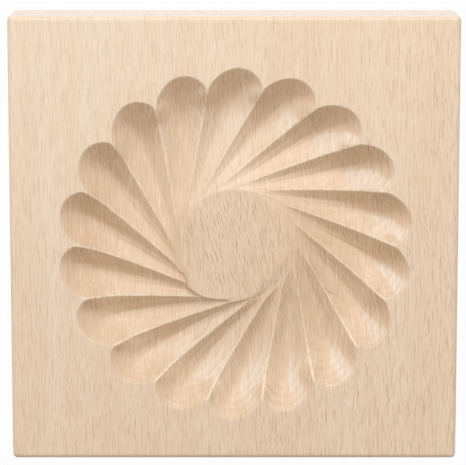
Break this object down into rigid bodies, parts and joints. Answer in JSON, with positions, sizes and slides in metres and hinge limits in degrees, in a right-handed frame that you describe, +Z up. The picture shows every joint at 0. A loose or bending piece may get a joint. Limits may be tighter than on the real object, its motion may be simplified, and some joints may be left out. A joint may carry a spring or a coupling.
{
  "type": "wooden cookie press mould",
  "caption": "Square block of pale wood with a whirling rosette of rounded flutes round a flat disc, carved into its upper face to shape pressed dough.",
  "frame": {"origin": "middle of the plain underside, on the surface that the block lies on", "axes": "+Z up out of the carved face; +Y along the grain, towards the top of the picture; +X to the right in the picture"},
  "size_m": [0.12, 0.12, 0.02],
  "materials": {
    "beech": "sanded, unvarnished"
  },
  "bodies": {
    "root": {"stamp_block": "beech"}
  },
  "joints": []
}
